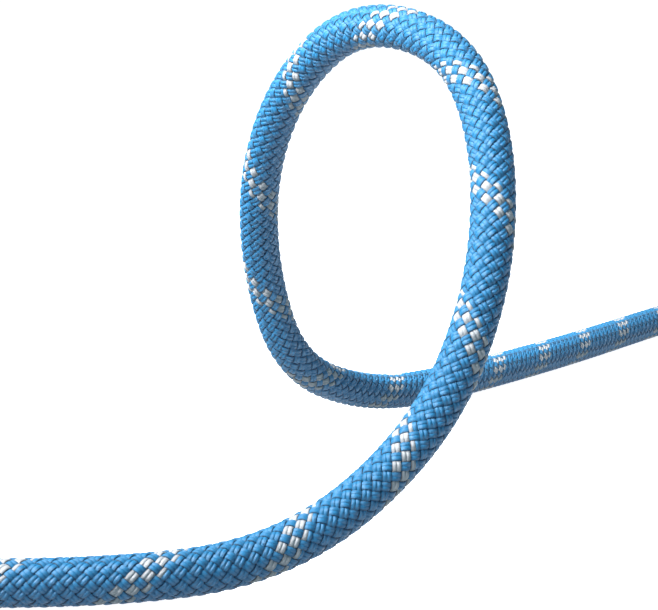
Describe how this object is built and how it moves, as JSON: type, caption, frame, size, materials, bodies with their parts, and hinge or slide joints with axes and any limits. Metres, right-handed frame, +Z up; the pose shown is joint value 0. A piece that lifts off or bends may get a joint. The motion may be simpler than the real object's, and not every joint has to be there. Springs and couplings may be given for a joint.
{
  "type": "dynamic climbing rope",
  "caption": "Braided blue climbing rope with white tracer yarns, standing in one loose loop, its spare length wound in a tied round coil.",
  "frame": {"origin": "on the surface that the rope lies on, under the middle of the whole rope's box", "axes": "+Z up, +Y from the near stretch towards the free end, +X from the coil towards the loop"},
  "size_m": [0.5312, 0.4034, 0.1204],
  "materials": {
    "sheath_yarn": "tight plain braid of twisted polyamide yarn, blue with white tracer yarns",
    "core_yarn": "twisted undyed polyamide strands",
    "identity_tape": "thin plain plastic tape",
    "shrunk_sleeve": "heat-shrunk black plastic sleeve",
    "fused_nylon": "melted and set polyamide",
    "tie_webbing": "narrow woven black webbing"
  },
  "bodies": {
    "root": {"sheath_run": "sheath_yarn", "core_strand_01": "core_yarn", "core_strand_02": "core_yarn", "core_strand_03": "core_yarn", "core_strand_04": "core_yarn", "core_strand_05": "core_yarn", "core_strand_06": "core_yarn", "core_strand_07": "core_yarn", "core_strand_08": "core_yarn", "core_strand_09": "core_yarn", "core_strand_10": "core_yarn", "core_strand_11": "core_yarn", "core_strand_12": "core_yarn", "identity_tape": "identity_tape", "free_end_sleeve": "shrunk_sleeve", "free_end_tip": "fused_nylon", "rope_coil": "sheath_yarn", "coil_tie_1": "tie_webbing", "coil_tie_2": "tie_webbing", "coil_tie_3": "tie_webbing", "inner_end_run": "sheath_yarn", "inner_end_sleeve": "shrunk_sleeve", "inner_end_tip": "fused_nylon"}
  },
  "joints": []
}
